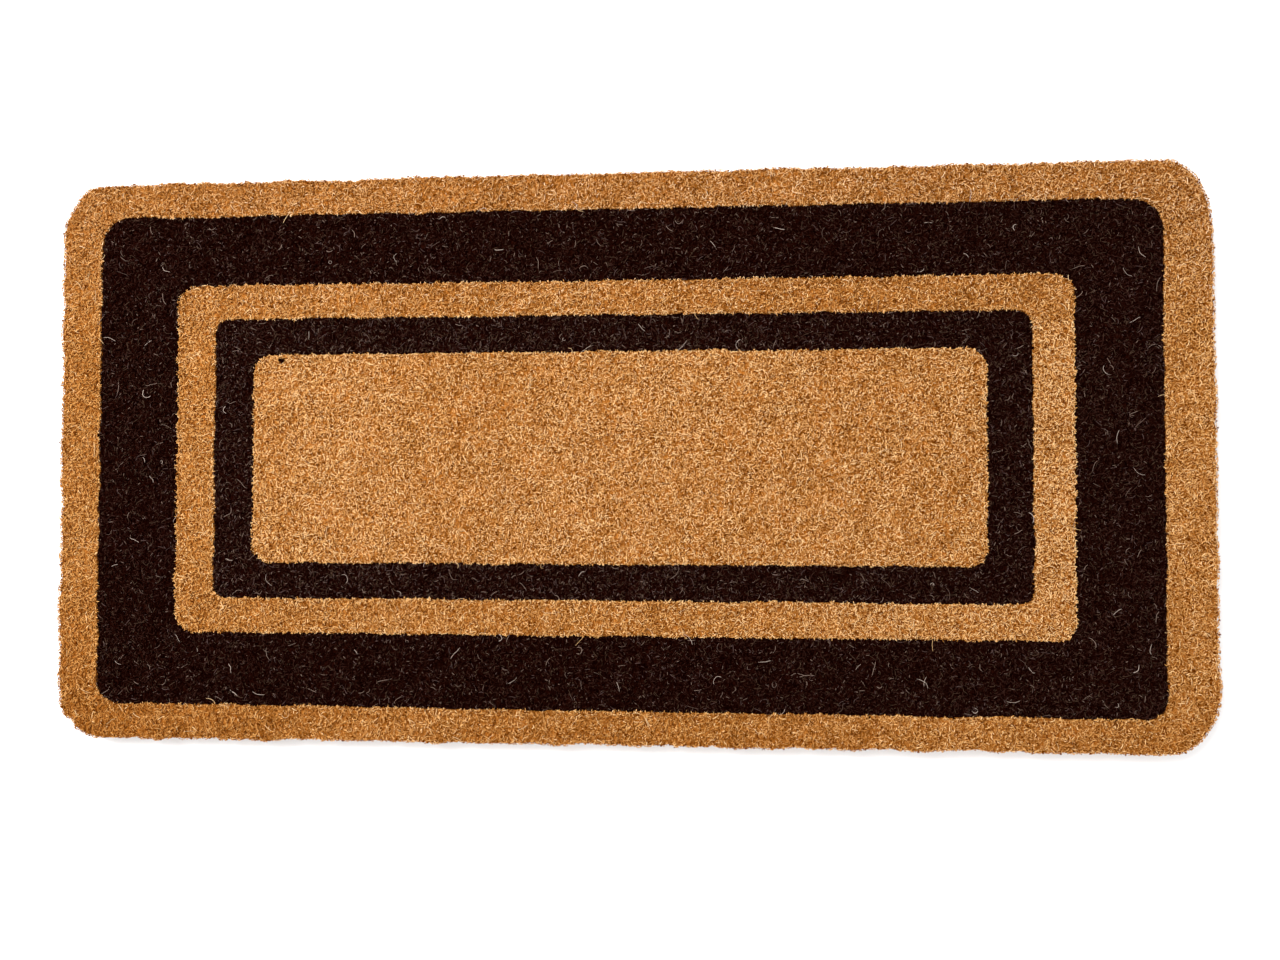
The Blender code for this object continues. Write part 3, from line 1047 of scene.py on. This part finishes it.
def build_stitches(material, line, thick, floor):
    """Twine loops that sew the rope to the base, slanted and evenly spaced."""
    rng = np.random.default_rng(600)
    radius = line.radii.mean()
    perimeter = 4 * (line.half - radius).sum() + 2 * math.pi * radius
    points, outward = line.walk(round(perimeter / STITCH_SPACING))
    along = np.stack([-outward[:, 1], outward[:, 0]], 1)
    turn = np.linspace(0, 2 * math.pi, STITCH_POINTS, endpoint=False)
    reach_out = thick * 0.5 + STITCH_RADIUS * 0.3
    height = floor + thick / 2 + (thick / 2 + 0.2 * MM) * np.sin(turn)
    height = np.maximum(height, floor + STITCH_RADIUS)
    parts = []
    for point, out, run in zip(points, outward, along):
        slant = (STITCH_SLANT[0] + rng.normal(0, STITCH_SLANT[1])) * MM
        flat = point + np.outer(reach_out * np.cos(turn), out) + np.outer(slant * np.sin(turn), run)
        parts.append(ring_tube(np.column_stack([flat, height]), STITCH_RADIUS))
    vertices, groups = joined(parts)
    mesh = mesh_from_arrays("twine_stitches", vertices, groups, [material])
    add_piece("twine_stitches", mesh)


def ring_tube(path, radius):
    """A closed loop of round twine through points in a tilted plane."""
    tangent = unit(np.roll(path, -1, axis=0) - np.roll(path, 1, axis=0))
    inward = path.mean(0) - path
    inward = unit(inward - (inward * tangent).sum(1, keepdims=True) * tangent)
    vertices = ring_points(path, radius, inward, np.cross(tangent, inward), STITCH_SIDES)
    rings = np.arange(len(path)) * STITCH_SIDES
    return vertices.reshape(-1, 3), [wall_quads(rings, np.roll(rings, -1), STITCH_SIDES)]


# ---------------------------------------------------------------- stage


def build_floor():
    """A wide, pale, matt floor just under the mat."""
    mesh = bpy.data.meshes.new("floor")
    far = FLOOR_REACH
    corners = [(-far, -far, 0.0), (far, -far, 0.0), (far, far, 0.0), (-far, far, 0.0)]
    mesh.from_pydata(corners, [], [(0, 1, 2, 3)])
    floor = bpy.data.objects.new("floor", mesh)
    floor.location.z = -0.5 * MM
    bpy.context.scene.collection.objects.link(floor)
    mesh.materials.append(plain_material("floor_white", (0.93, 0.93, 0.93), 0.9, 0.1))


def build_stage():
    """The floor, an even white surround, a soft key and overhead light, and the camera."""
    build_floor()
    scene = bpy.context.scene
    scene.view_settings.view_transform = "Standard"
    world = bpy.data.worlds.new("studio")
    world.use_nodes = True
    surround = world.node_tree.nodes["Background"]
    surround.inputs["Color"].default_value = (1.0, 1.0, 1.0, 1.0)
    surround.inputs["Strength"].default_value = SURROUND_STRENGTH
    scene.world = world
    for light in LIGHTS:
        add_light(*light)
    add_camera()


def add_light(name, place, size, power):
    """A square area light aimed at the middle of the mat."""
    light = bpy.data.lights.new(name, "AREA")
    light.shape = "SQUARE"
    light.size = size
    light.energy = power
    lamp = bpy.data.objects.new(name, light)
    lamp.location = place
    lamp.rotation_mode = "QUATERNION"
    lamp.rotation_quaternion = (-lamp.location).to_track_quat("-Z", "Y")
    bpy.context.scene.collection.objects.link(lamp)


def add_camera():
    """Nearly straight above, a little right of the middle and towards the near side."""
    camera = bpy.data.cameras.new("camera")
    camera.sensor_width = 36.0
    camera.lens = CAMERA_LENS
    camera.clip_start = 0.05
    camera.clip_end = 30.0
    eye = bpy.data.objects.new("camera", camera)
    low, high = CAD_BOX
    top = ((low[0] + high[0]) / 2, (low[1] + high[1]) / 2, high[2])
    eye.location = np.add(top, CAMERA_PLACE)
    eye.rotation_mode = "ZYX"
    eye.rotation_euler = np.radians(CAMERA_TILT)
    bpy.context.scene.collection.objects.link(eye)
    bpy.context.scene.camera = eye


def fibre_tints():
    """The fibres' tints for both families; a dyed one and the dull ones follow the natural ones."""
    natural, dull = [], []
    for i, (tint, gloss) in enumerate(zip(NATURAL_TINTS, NATURAL_GLOSS)):
        natural.append(plain_material(f"coir_tan_{i}", tint, 0.8, gloss))
        duller = tuple(np.multiply(tint, DULLING))
        dull.append(plain_material(f"coir_dull_{i}", duller, 0.8, gloss))
    dark = [
        plain_material(f"coir_dark_{i}", tint, 0.7, gloss)
        for i, (tint, gloss) in enumerate(zip(DARK_TINTS, DARK_GLOSS))
    ]
    return {"natural": natural + dark[:1] + dull, "dark": dark}


def stray_tints():
    """The tints of the loose fibres on both colour families."""
    return {
        family: [plain_material(f"stray_{family}_{i}", tint, 0.7, 0.1) for i, tint in enumerate(row)]
        for family, row in STRAY_TINTS.items()
    }


def main():
    ground = {
        # The ground takes the darkest tints: painted shade under the fibres
        "natural": coir_material("packed_coir_natural", NATURAL_TINTS[:3], 0.9),
        "dark": coir_material("packed_coir_dark", DARK_TINTS[:3], 0.85, gloss=0.0),
    }
    yarn = coir_material("coir_yarn", NATURAL_TINTS[1:5], 0.88, fineness=500.0)
    twine = coir_material("coir_twine", NATURAL_TINTS[3:6], 0.82, fineness=700.0)
    for zone, (_, family) in enumerate(ZONES):
        build_ground(zone, ground[family])
    tints = fibre_tints()
    build_fibres(tints)
    build_edge_tufts(tints)
    build_rim_bristles(tints)
    build_dye_spot(tints)
    build_strays(stray_tints())
    build_chains(yarn)
    build_weft(yarn)
    build_stitches(twine, *build_edge_cord(yarn))
    build_stage()


main()
